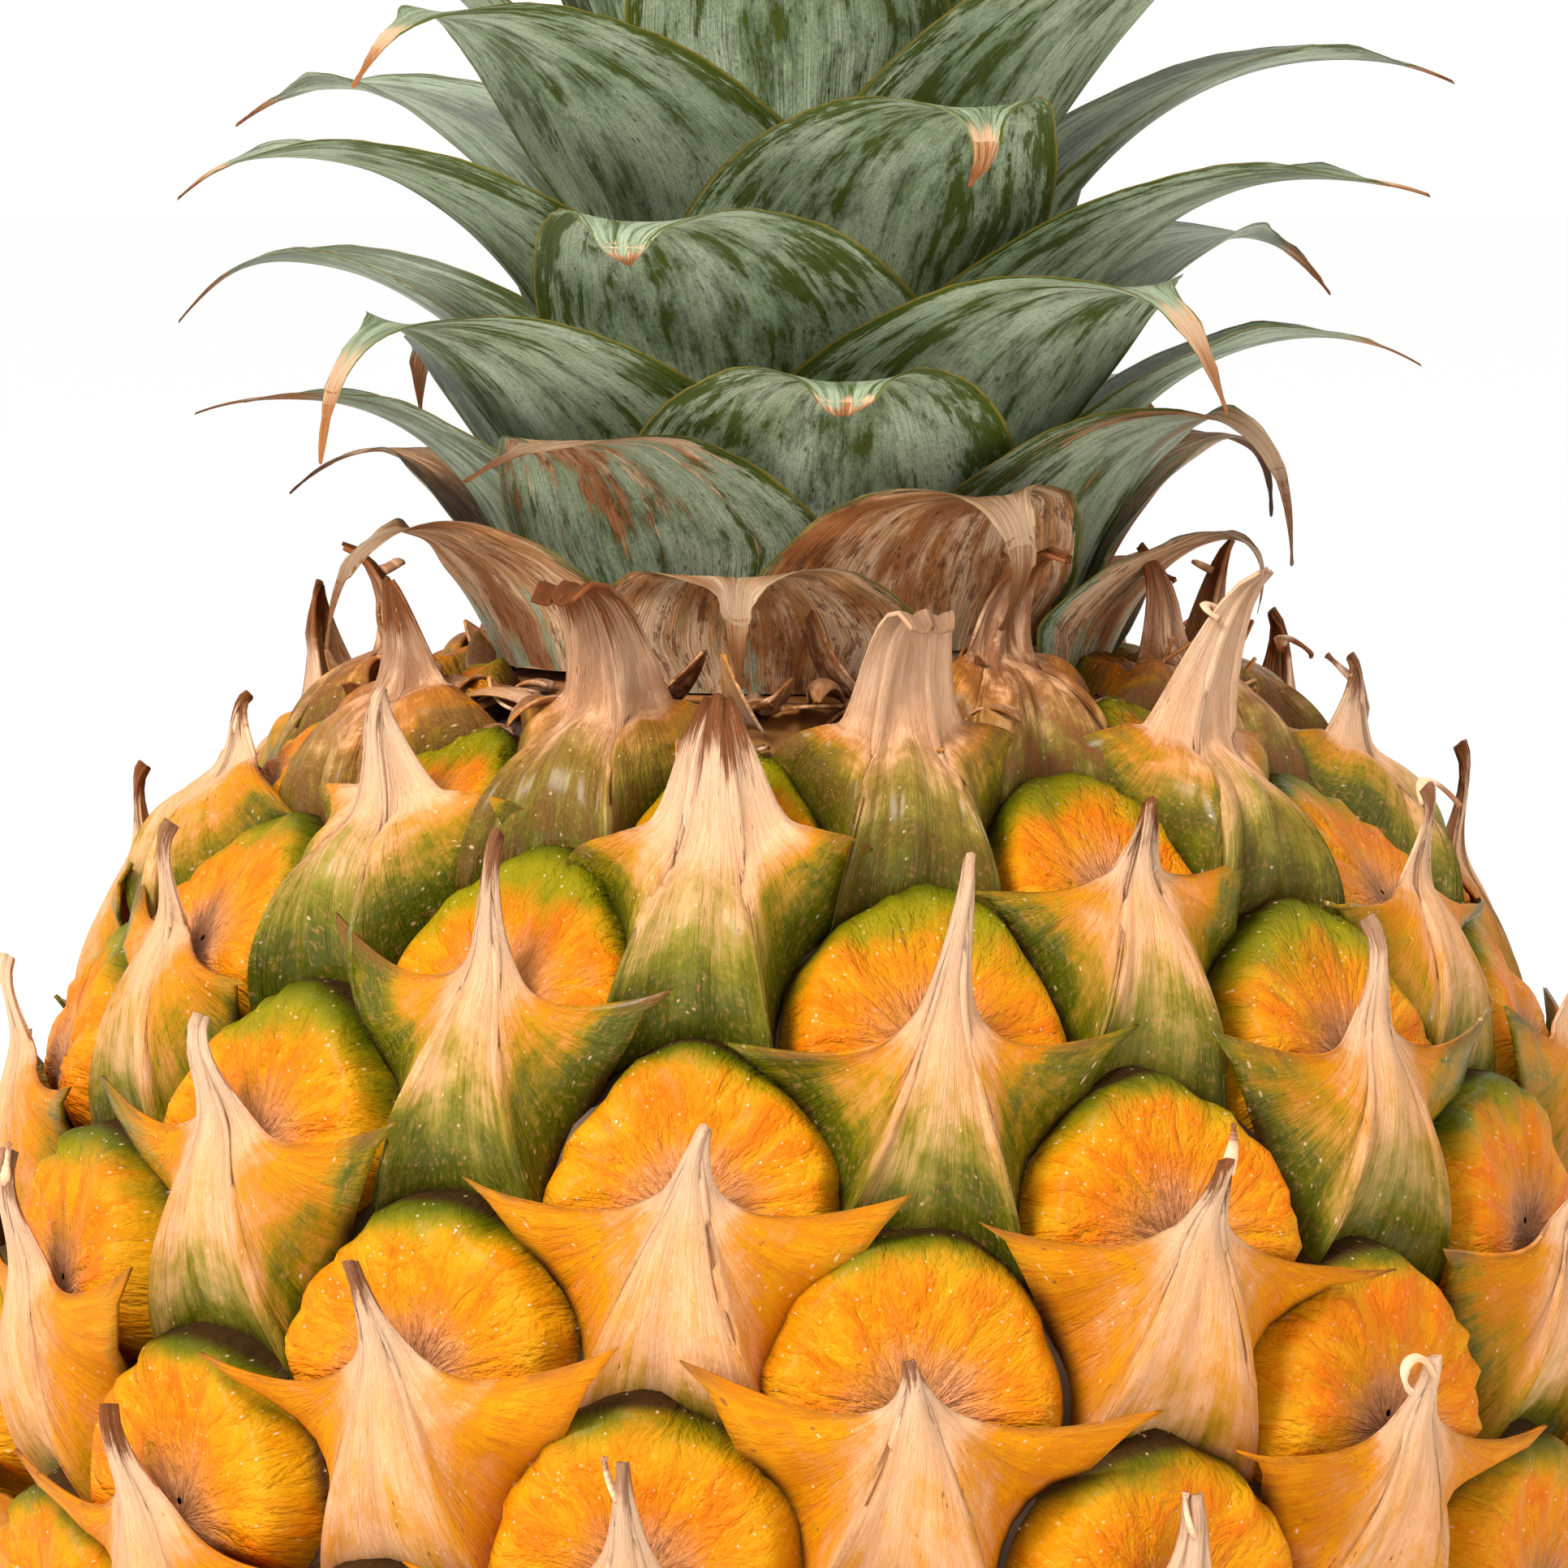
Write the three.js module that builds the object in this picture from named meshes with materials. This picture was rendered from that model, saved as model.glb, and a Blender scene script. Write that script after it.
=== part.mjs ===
// A pineapple with its crown, standing upright on its trimmed base.
// Millimetres, +Z up. The origin is the centre of the cut stalk's face, on the surface it stands on.
// The front is -Y. Azimuths are measured from the front, positive towards +X.
import * as THREE from "three";

// Fruit: a body of revolution that swells to its widest plane and closes in to the crown and the base.
const FRUIT_RADIUS = 62;
const WIDEST_Z = 92;
const UPPER_HEIGHT = 62.9; // semi-height of the superellipse above the widest plane
const UPPER_POWER = 2.13;
const LOWER_HEIGHT = 95.6; // semi-height of the superellipse below the widest plane
const LOWER_POWER = 3.2;
const CROWN_SEAT_RADIUS = 27; // where the fruit ends and the crown begins

// Eyes: fruitlets on a spiral lattice with 11 rows falling one way and 9 the other.
const EYE_TURN = 162.1; // azimuth from each eye to the next one up
const EYE_RISE = 0.0227; // climb from each eye to the next, as a share of the local radius
const FIRST_EYE_AZIMUTH = 10.4; // of the eye that is EYE_LEVEL above the widest plane
const EYE_LEVEL = 0.5913;
const ROWS_RIGHT = 11;
const ROWS_LEFT = 9;
const SHOULDER_STRETCH = 0.464; // how much longer the eyes get towards the crown
const SHOULDER_START = 0.45;
const EYE_STEPS = 4; // mesh steps along each side of an eye's cell

// Cut stalk in the middle of the underside.
const STALK_RADIUS = 15;
const STALK_SIDE_HEIGHT = 3.6;
const BASE_HOLLOW = 8; // depth of the hollow around the stalk, at its middle
const GAP = 0.3; // clearance between neighbouring pieces

// Crown: a tapering stem and leaves on a golden-angle spiral.
const LEAF_COUNT = 57;
const GOLDEN_TURN = 137.508;
const FIRST_LEAF_AZIMUTH = 129.5;
const STEM_BOTTOM_Z = 150;
const STEM_BOTTOM_RADIUS = 23.5;
const STEM_TOP_Z = 200;
const STEM_TOP_RADIUS = 2;
const WITHERED = 13; // the leaves below this number are dry, small and crowded
const SPREADING = 35; // the leaves below this number arch outwards, those above stand up
const LEAF_STATIONS = 8;
const WRAP = 0.72; // how far around the stem half a leaf reaches, in radians

const radians = THREE.MathUtils.degToRad;
const { clamp, lerp, smoothstep } = THREE.MathUtils;

// ---------------------------------------------------------------- fruit body

function fruitRadius(z) {
  const above = z > WIDEST_Z;
  const share = Math.abs(z - WIDEST_Z) / (above ? UPPER_HEIGHT : LOWER_HEIGHT);
  const power = above ? UPPER_POWER : LOWER_POWER;
  return FRUIT_RADIUS * (1 - Math.min(share, 1) ** power) ** (1 / power);
}

// Heights with the climb to each, where climb is surface length over radius, zero at the widest plane.
function climbTable() {
  const steps = 1200;
  const top = heightOfRadius(CROWN_SEAT_RADIUS, WIDEST_Z, WIDEST_Z + UPPER_HEIGHT);
  const bottom = 0;
  const table = [];
  let climb = 0;
  let widest = 0;
  for (let k = 0; k <= steps; k++) {
    const z = lerp(bottom, top, k / steps);
    const r = fruitRadius(z);
    if (k > 0) {
      const last = table[k - 1];
      climb += Math.hypot(z - last.z, r - last.r) / ((r + last.r) / 2);
    }
    if (z <= WIDEST_Z) widest = climb;
    table.push({ z, r, climb });
  }
  for (const row of table) row.climb -= widest;
  return table;
}

function heightOfRadius(radius, low, high) {
  for (let k = 0; k < 50; k++) {
    const middle = (low + high) / 2;
    if (fruitRadius(middle) > radius) low = middle;
    else high = middle;
  }
  return low;
}

const CLIMB = climbTable();
const LOWEST_CLIMB = CLIMB[0].climb;
const HIGHEST_CLIMB = CLIMB[CLIMB.length - 1].climb;

function atClimb(climb) {
  let low = 0;
  let high = CLIMB.length - 1;
  while (high - low > 1) {
    const middle = (low + high) >> 1;
    if (CLIMB[middle].climb <= climb) low = middle;
    else high = middle;
  }
  const share = (climb - CLIMB[low].climb) / (CLIMB[high].climb - CLIMB[low].climb);
  return {
    z: lerp(CLIMB[low].z, CLIMB[high].z, share),
    r: lerp(CLIMB[low].r, CLIMB[high].r, share),
  };
}

// Azimuth and climb of a point that lies s rows right and t rows left below eye number i.
function eyePoint(i, s, t) {
  const turnRight = wrapTurn(-ROWS_RIGHT * EYE_TURN);
  const turnLeft = wrapTurn(-ROWS_LEFT * EYE_TURN);
  const level = EYE_LEVEL + (i - s * ROWS_RIGHT - t * ROWS_LEFT) * EYE_RISE;
  return {
    azimuth: FIRST_EYE_AZIMUTH + i * EYE_TURN + s * turnRight + t * turnLeft,
    climb: level + SHOULDER_STRETCH * Math.max(0, level - SHOULDER_START) ** 2,
  };
}

function wrapTurn(degrees) {
  return degrees - 360 * Math.round(degrees / 360);
}

// How far the skin stands out, and how far it is drawn up, at quarter steps from an eye's middle.
// The middle carries the hooked tip of the bract, the quarter below it the bract's belly.
function eyeRelief(s, t) {
  const right = s > EYE_STEPS / 2 ? s - EYE_STEPS : s;
  const left = t > EYE_STEPS / 2 ? t - EYE_STEPS : t;
  if (right === 0 && left === 0) return { out: 5.5, up: 3 };
  const edge = Math.max(Math.abs(right), Math.abs(left));
  if (edge === EYE_STEPS / 2) return { out: -1.6, up: 0 };
  const down = right + left;
  return { out: 0.8 + 0.7 * down, up: 0 };
}

function fruitPoint(i, s, t) {
  const { azimuth, climb } = eyePoint(i, s / EYE_STEPS, t / EYE_STEPS);
  const clamped = climb <= LOWEST_CLIMB || climb >= HIGHEST_CLIMB;
  const { z, r } = atClimb(clamp(climb, LOWEST_CLIMB, HIGHEST_CLIMB));
  const step = 0.5;
  const slope = Math.atan2(fruitRadius(z + step) - fruitRadius(z - step), 2 * step);
  const scale = r / FRUIT_RADIUS;
  const relief = clamped ? { out: 0, up: 0 } : eyeRelief(s, t);
  const radius = r + scale * (relief.out * Math.cos(slope) + relief.up * Math.sin(slope));
  const height = z + scale * (relief.up * Math.cos(slope) - relief.out * Math.sin(slope));
  const angle = radians(azimuth);
  return {
    point: [radius * Math.sin(angle), -radius * Math.cos(angle), Math.max(height, 0)],
    end: clamped ? Math.sign(climb) : 0,
  };
}

function fruitGeometry() {
  const positions = [];
  const ends = [];
  const numbers = new Map();
  // Steps past an eye's cell belong to the next eye down that row.
  function vertex(i, s, t) {
    if (s >= EYE_STEPS) return vertex(i - ROWS_RIGHT, s - EYE_STEPS, t);
    if (t >= EYE_STEPS) return vertex(i - ROWS_LEFT, s, t - EYE_STEPS);
    const key = `${i},${s},${t}`;
    if (!numbers.has(key)) {
      const made = fruitPoint(i, s, t);
      numbers.set(key, ends.length);
      positions.push(...made.point);
      ends.push(made.end);
    }
    return numbers.get(key);
  }
  const faces = [];
  function face(a, b, c) {
    const pastTheEnd = ends[a] !== 0 && ends[a] === ends[b] && ends[a] === ends[c];
    if (!pastTheEnd) faces.push([a, b, c]);
  }
  const margin = ROWS_RIGHT + ROWS_LEFT + 10;
  const lowest = Math.floor((LOWEST_CLIMB - EYE_LEVEL) / EYE_RISE) - margin;
  const highest = Math.ceil((HIGHEST_CLIMB - EYE_LEVEL) / EYE_RISE) + margin;
  for (let i = lowest; i <= highest; i++) {
    for (let s = 0; s < EYE_STEPS; s++) {
      for (let t = 0; t < EYE_STEPS; t++) {
        const top = vertex(i, s, t);
        const right = vertex(i, s + 1, t);
        const left = vertex(i, s, t + 1);
        const bottom = vertex(i, s + 1, t + 1);
        face(top, left, right);
        face(left, bottom, right);
      }
    }
  }
  closeEnds(positions, ends, faces);
  return new THREE.BufferGeometry()
    .setAttribute("position", new THREE.Float32BufferAttribute(positions, 3))
    .setIndex(faces.flat());
}

// Joins the open rim at the crown and the one at the base to a middle point each.
function closeEnds(positions, ends, faces) {
  const edges = new Set();
  for (const [a, b, c] of faces) for (const edge of [[a, b], [b, c], [c, a]]) edges.add(edge.join());
  const seat = positions.push(0, 0, CLIMB[CLIMB.length - 1].z - 1.5) / 3 - 1;
  const hollow = positions.push(0, 0, BASE_HOLLOW) / 3 - 1;
  for (const edge of edges) {
    const [a, b] = edge.split(",").map(Number);
    if (!edges.has([b, a].join())) faces.push([b, a, ends[a] > 0 ? seat : hollow]);
  }
}

// ---------------------------------------------------------------- stalk and crown stem

function stalkGeometry() {
  const top = BASE_HOLLOW - 2 * GAP;
  const profile = [[0, 0], [STALK_RADIUS, 0], [STALK_RADIUS, STALK_SIDE_HEIGHT], [0, top]];
  return latheZ(profile, 28);
}

function stemRadius(z) {
  const share = clamp((z - STEM_BOTTOM_Z) / (STEM_TOP_Z - STEM_BOTTOM_Z), 0, 1);
  return lerp(STEM_BOTTOM_RADIUS, STEM_TOP_RADIUS, share ** 0.8);
}

function stemGeometry() {
  const rings = 9;
  const profile = [[0, STEM_BOTTOM_Z - 1]];
  for (let k = 0; k <= rings; k++) {
    const z = lerp(STEM_BOTTOM_Z, STEM_TOP_Z, k / rings);
    profile.push([stemRadius(z), z]);
  }
  profile.push([0, STEM_TOP_Z + 1]);
  return latheZ(profile, 24);
}

// A lathe about +Z from [radius, height] points that run from the bottom to the top.
function latheZ(profile, segments) {
  const points = profile.map(([r, z]) => new THREE.Vector2(r, z));
  return new THREE.LatheGeometry(points, segments).rotateX(Math.PI / 2);
}

// ---------------------------------------------------------------- crown leaves

// Height of a leaf's foot: the withered leaves at the bottom are crowded together.
function leafFootZ(j) {
  const crowded = 0.38 * Math.min(j, WITHERED);
  const spreading = 0.95 * clamp(j - WITHERED, 0, SPREADING - WITHERED);
  const upright = 1.05 * Math.max(0, j - SPREADING);
  return STEM_BOTTOM_Z + 0.6 + crowded + spreading + upright;
}

// Size and stance of leaf number j, counted from the bottom of the crown.
function leafShape(j) {
  const upright = smoothstep(j, 0.8 * SPREADING, 1.4 * SPREADING);
  const young = smoothstep(j, 1.3 * SPREADING, LEAF_COUNT + 4);
  const stance = smoothstep(j, 0.75 * SPREADING, 1.5 * SPREADING);
  return {
    length: lerp(18 + 1.12 * j, 124, upright) - 36 * young,
    halfWidth: lerp(14, 18, smoothstep(j, 4, 20)) - 11 * smoothstep(j, 20, LEAF_COUNT),
    footElevation: lerp(66, 86, smoothstep(j, 0, SPREADING)),
    tipElevation: lerp(lerp(-40, -22, smoothstep(j, 0, 20)), 64, stance),
    lateness: lerp(1.7, 1, smoothstep(j, 4, 20)), // how far out the arch of the leaf is
    thickness: lerp(0.8, 1.5, smoothstep(j, 8, 26)) - 0.5 * young,
  };
}

// Points along a leaf's midline in its own upright plane, with the direction at each.
function leafMidline(j, shape, stations) {
  const foot = leafFootZ(j);
  const steps = 60;
  const rows = [];
  let out = stemRadius(foot) + GAP + shape.thickness;
  let z = foot;
  for (let k = 0; k <= steps; k++) {
    const u = k / steps;
    const elevation = radians(lerp(shape.footElevation, shape.tipElevation, u ** shape.lateness));
    rows.push({ u, out, z, elevation });
    out += (shape.length / steps) * Math.cos(elevation);
    z += (shape.length / steps) * Math.sin(elevation);
  }
  return stations.map((u) => rows[Math.round(u * steps)]);
}

// Half the width of a leaf as a share of its greatest, from foot to tip.
function leafTaper(u) {
  const foot = 0.8 + 0.2 * smoothstep(u, 0, 0.25);
  return foot * (1 - clamp((u - 0.2) / 0.8, 0, 1) ** 1.5);
}

function leafGeometry(j) {
  const shape = leafShape(j);
  const stations = Array.from({ length: LEAF_STATIONS }, (_, k) => k / (LEAF_STATIONS - 1));
  const rows = leafMidline(j, shape, stations);
  const across = [-1, -0.5, 0, 0.5, 1];
  const positions = [];
  const rings = rows.slice(0, -1).map((row) => {
    const section = leafSection(row, shape);
    const under = across.map((w) => leafPoint(positions, row, section, w, -0.5 * shape.thickness));
    const over = across.map((w) => leafPoint(positions, row, section, w, 0.5 * shape.thickness));
    return [...under, ...over.reverse()];
  });
  const end = rows[rows.length - 1];
  const tip = positions.push(0, -end.out, end.z) / 3 - 1;
  const faces = [];
  rings.forEach((ring, k) => {
    const next = rings[k + 1];
    ring.forEach((a, n) => {
      const b = ring[(n + 1) % ring.length];
      if (!next) faces.push(a, b, tip);
      else faces.push(a, b, next[n], b, next[(n + 1) % ring.length], next[n]);
    });
  });
  const foot = rings[0];
  for (let n = 0; n < across.length - 1; n++) {
    const [a, b, c, d] = [foot[n], foot[n + 1], foot[foot.length - 2 - n], foot[foot.length - 1 - n]];
    faces.push(a, c, b, a, d, c);
  }
  const geometry = new THREE.BufferGeometry()
    .setAttribute("position", new THREE.Float32BufferAttribute(positions, 3))
    .setIndex(faces);
  return geometry.rotateZ(radians(FIRST_LEAF_AZIMUTH - j * GOLDEN_TURN));
}

// Across a leaf: near the foot it is wrapped level around the stem, so that the leaves nest
// without touching, and further out it is a gutter square to the midline.
function leafSection(row, shape) {
  const free = smoothstep(row.u, 0.3, 0.85);
  const half = Math.min(shape.halfWidth * leafTaper(row.u), WRAP * row.out);
  return {
    half,
    curl: lerp(row.out, 1.5 * half + 3, free),
    lean: lerp(Math.PI / 2, row.elevation, 0.5 * free),
  };
}

// Adds the point at w across the leaf, offset towards its upper face, and gives its number.
function leafPoint(positions, row, { half, curl, lean }, w, offset) {
  const bend = (w * half) / curl;
  const depth = curl - offset * (1 - 0.65 * w * w) * (1 - 0.6 * row.u);
  const side = depth * Math.sin(bend);
  const rise = curl - depth * Math.cos(bend);
  const out = row.out - rise * Math.sin(lean);
  const z = row.z + rise * Math.cos(lean);
  return positions.push(side, -out, z) / 3 - 1;
}

// ---------------------------------------------------------------- materials and assembly

function finish(color, roughness) {
  return new THREE.MeshStandardMaterial({ color, roughness, metalness: 0 });
}

const skin = finish(0xd9932b, 0.45);
const cutFibre = finish(0xc9ab7a, 0.8);
const stemFlesh = finish(0xcdbf94, 0.7);
const greenLeaf = finish(0x5f7c66, 0.55);
const dryLeaf = finish(0xb08a66, 0.8);

function piece(name, geometry, material) {
  const mesh = new THREE.Mesh(geometry, material);
  mesh.name = name;
  return mesh;
}

const pineapple = new THREE.Group();
pineapple.add(piece("fruit_body", fruitGeometry(), skin));
pineapple.add(piece("cut_stalk", stalkGeometry(), cutFibre));
const crown = new THREE.Group();
crown.add(piece("crown_stem", stemGeometry(), stemFlesh));
for (let j = 0; j < LEAF_COUNT; j++) {
  const name = `crown_leaf_${String(j + 1).padStart(2, "0")}`;
  crown.add(piece(name, leafGeometry(j), j < WITHERED ? dryLeaf : greenLeaf));
}
pineapple.add(crown);

export default pineapple;
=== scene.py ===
"""A ripe pineapple: orange eyes with papery hooked bracts, and a crown of waxy leaves with dry, curled tips.

Sizes are millimetres unless a name says otherwise. The front is -Y, and azimuths run from it towards +X.
"""

import math
import random

import bpy
import numpy as np
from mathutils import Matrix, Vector


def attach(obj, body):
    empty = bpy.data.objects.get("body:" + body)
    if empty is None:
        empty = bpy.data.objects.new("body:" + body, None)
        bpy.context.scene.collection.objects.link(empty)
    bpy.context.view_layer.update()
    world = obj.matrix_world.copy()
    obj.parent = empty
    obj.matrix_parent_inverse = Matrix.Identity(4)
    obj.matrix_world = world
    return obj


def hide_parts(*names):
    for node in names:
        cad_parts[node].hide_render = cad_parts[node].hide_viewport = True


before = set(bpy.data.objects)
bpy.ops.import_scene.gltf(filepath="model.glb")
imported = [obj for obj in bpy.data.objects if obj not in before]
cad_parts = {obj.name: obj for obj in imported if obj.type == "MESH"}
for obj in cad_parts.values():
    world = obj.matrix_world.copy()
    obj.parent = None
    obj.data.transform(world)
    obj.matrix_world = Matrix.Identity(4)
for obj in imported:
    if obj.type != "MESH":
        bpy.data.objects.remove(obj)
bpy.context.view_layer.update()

MM = 0.001  # metres

# Fruit outline, as the CAD body has it
FRUIT_RADIUS = 62
WIDEST_Z = 92
UPPER_HEIGHT = 62.9
UPPER_POWER = 2.13
LOWER_HEIGHT = 95.6
LOWER_POWER = 3.2
CROWN_SEAT_RADIUS = 27
STALK_RADIUS = 15
BASE_HOLLOW = 8
FOOT_CLEARANCE = 0.7

# Spiral lattice of the eyes
EYE_TURN = 162.1
EYE_RISE = 0.0227
FIRST_EYE_AZIMUTH = 10.4
EYE_LEVEL = 0.5913
ROWS_RIGHT = 11
ROWS_LEFT = 9
SHOULDER_STRETCH = 0.464
SHOULDER_START = 0.45

# Steps to the neighbouring eyes below, on the skin at the widest plane
STEP_RIGHT = (18.3, -15.5)
STEP_LEFT = (-20.4, -12.7)
STEP_DOWN = (-2.1, -28.2)

EYE_DISC_RADIUS = 11.9
GROOVE = 0.3  # between an eye's disc and the bracts around it
GROOVE_DEPTH = 3.2
SEAT_INNER_RADIUS = 20  # how far in under the crown the skin reaches
SEAT_RISE = 1.6

# Lengths of the bracts' hooks on the eyes that face forwards, which differ most to the eye
TIP_LENGTHS = {
    -22: 7, -20: 5.5, -18: 9.5, -11: 7, -9: 8, -7: 11, -2: 11,
    0: 13.5, 2: 12, 9: 8, 11: 13, 18: 16, 20: 15, 22: 16,
}
# The hooks by the crown: degrees by which they bend over outwards, and half their widths
TIP_BENDS = {20: 115, 29: 120, 31: 115, 18: 60, 22: 120, 9: -20, 11: 5}
TIP_WIDTHS = {20: 1.8, 22: 2.0, 18: 1.0, 11: 1.5}
# Hooks split in two prongs, by eye, and hooks that end in a long thin curl
SPLIT_TIPS = (-11, -29, -31, -49, 33, -60)
CURLED_TIPS = (-22, 18, 27, -40, 7, -64, -13)

# Tips of the leaves that face forwards: degrees folded down, degrees turned to the right
DRIED_TIPS = {
    1: (85, 8), 4: (60, -60), 6: (100, 25), 11: (75, 60), 14: (150, 0), 17: (75, -45), 19: (65, 45),
    22: (135, -10), 27: (130, 10), 30: (60, -65), 32: (75, 45), 35: (80, -60),
}
BLUNT_LEAVES = (14, 22)  # their dried tips have broken off

# Crown leaves, as the CAD leaves have them
LEAF_COUNT = 57
GOLDEN_TURN = 137.508
FIRST_LEAF_AZIMUTH = 129.5
STEM_BOTTOM_Z = 150
STEM_BOTTOM_RADIUS = 23.5
STEM_TOP_Z = 200
STEM_TOP_RADIUS = 2
WITHERED = 13
SPREADING = 35
WRAP = 0.72
GAP = 0.3


def smoothstep(value, low, high):
    """0 at low, 1 at high and smooth in between; low may be the larger one."""
    share = np.clip((value - low) / (high - low), 0, 1)
    return share * share * (3 - 2 * share)


def lerp(a, b, share):
    return a + (b - a) * share


# ---------------------------------------------------------------- the skin's surface


def fruit_radius(z):
    """The body's radius at a height: a rounded curve above the widest plane and a squarer one below."""
    above = z > WIDEST_Z
    share = np.abs(z - WIDEST_Z) / np.where(above, UPPER_HEIGHT, LOWER_HEIGHT)
    power = np.where(above, UPPER_POWER, LOWER_POWER)
    return FRUIT_RADIUS * (1 - np.minimum(share, 1) ** power) ** (1 / power)


def skin_profile():
    """Climb, radius, height and outward normal along the fruit's outline, from the stalk to the crown."""
    heights = np.linspace(0, WIDEST_Z + UPPER_HEIGHT, 6001)
    heights = heights[fruit_radius(heights) >= CROWN_SEAT_RADIUS]
    radii = fruit_radius(heights)
    under = np.linspace(STALK_RADIUS + 1, radii[0], 400, endpoint=False)
    side_start, side_end = len(under), len(under) + len(radii)
    seat = np.linspace(radii[-1], SEAT_INNER_RADIUS, 200)[1:]
    seat_z = heights[-1] + SEAT_RISE * (radii[-1] - seat) / (radii[-1] - SEAT_INNER_RADIUS)
    r = np.concatenate([under, radii, seat])
    z = np.concatenate([BASE_HOLLOW * (1 - under / radii[0]), heights, seat_z])
    length = np.hypot(np.diff(r), np.diff(z))
    climb = np.concatenate([[0], np.cumsum(length / ((r[1:] + r[:-1]) / 2))])
    climb -= np.interp(WIDEST_Z, z[side_start:], climb[side_start:])
    even = np.linspace(climb[0], climb[-1], 4000)
    r, z = np.interp(even, climb, r), np.interp(even, climb, z)
    slope_r, slope_z = softened(np.gradient(r)), softened(np.gradient(z))
    size = np.hypot(slope_r, slope_z)
    return even, r, z, slope_z / size, -slope_r / size, climb[side_end - 1]


def softened(values, window=121):
    """Values averaged with their neighbours, so that the outline has no sharp corner."""
    weights = np.hanning(window) / np.hanning(window).sum()
    return np.convolve(np.pad(values, window // 2, "edge"), weights, "valid")


CLIMB, SKIN_R, SKIN_Z, SKIN_OUT_R, SKIN_OUT_Z, SEAT_CLIMB = skin_profile()


def climb_of_level(level):
    """The climb of a level of the lattice, whose rows lie further apart towards the crown."""
    return level + SHOULDER_STRETCH * np.maximum(0, level - SHOULDER_START) ** 2


class Eye:
    """One fruitlet of the skin: where it sits on the spiral and what its bract is like."""

    def __init__(self, number):
        chance = random.Random(4000 + number)
        self.number = number
        self.azimuth = FIRST_EYE_AZIMUTH + number * EYE_TURN + chance.uniform(-0.9, 0.9)
        self.level = EYE_LEVEL + number * EYE_RISE + chance.uniform(-0.009, 0.009)
        self.climb = float(climb_of_level(self.level))
        out_z = float(np.interp(self.climb, CLIMB, SKIN_OUT_Z))
        self.slope = math.degrees(math.asin(out_z))
        by_crown = float(smoothstep(self.level, 0.8, 1.15))
        self.disc_radius = disc_radius(self.level)
        self.tip_length = TIP_LENGTHS.get(number, chance.uniform(6.5, 12.5) + 3 * by_crown)
        self.tip_sway = chance.uniform(-2.4, 2.4)
        self.tip_lean = max(5, 12 + 0.8 * self.slope) + chance.uniform(-5, 7)
        bend = chance.uniform(-25, 20) + by_crown * chance.uniform(0, 100)
        self.tip_bend = TIP_BENDS.get(number, bend)
        tip_width = chance.choice((0.06, 0.1, 0.15, 0.5)) + 1.4 * by_crown * chance.uniform(0.2, 1)
        self.tip_width = TIP_WIDTHS.get(number, tip_width)
        self.wing_lift = chance.uniform(0.4, 2.6), chance.uniform(0.4, 2.6)
        self.wing_raise = chance.uniform(-1.2, 5.2), chance.uniform(-1.2, 5.2)
        self.seed = chance.uniform(0, 50)
        self.dryness = min(1, chance.uniform(0.15, 1) + 0.4 * by_crown)
        self.split = number in SPLIT_TIPS or chance.random() < 0.08
        self.curled = number in CURLED_TIPS or chance.random() < 0.10


def disc_radius(level):
    """Discs are largest on the shoulder, and shrink away next to the crown."""
    largest = EYE_DISC_RADIUS + 0.8 * math.exp(-(((level - 0.6) / 0.15) ** 2))
    return float(largest * lerp(1, 0.66, smoothstep(level, 0.78, 1.1)))


def all_eyes():
    lowest = math.floor((CLIMB[0] - EYE_LEVEL) / EYE_RISE)
    eyes = [Eye(number) for number in range(lowest, 60)]
    return [eye for eye in eyes if CLIMB[0] + 0.12 < eye.climb < SEAT_CLIMB + 0.12]


def on_skin(eye, x, y, out):
    """Points x to the right of an eye's middle and y above it, standing out from the skin."""
    azimuth = math.radians(eye.azimuth) + x / FRUIT_RADIUS
    climb = climb_of_level(eye.level + y / FRUIT_RADIUS)
    r = np.interp(climb, CLIMB, SKIN_R)
    lift = out * (r / FRUIT_RADIUS) ** 0.7
    radius = r + lift * np.interp(climb, CLIMB, SKIN_OUT_R)
    height = np.interp(climb, CLIMB, SKIN_Z) + lift * np.interp(climb, CLIMB, SKIN_OUT_Z)
    height = np.maximum(height, FOOT_CLEARANCE)
    return np.stack([radius * np.sin(azimuth), -radius * np.cos(azimuth), height], -1)


# ---------------------------------------------------------------- mesh making


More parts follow.
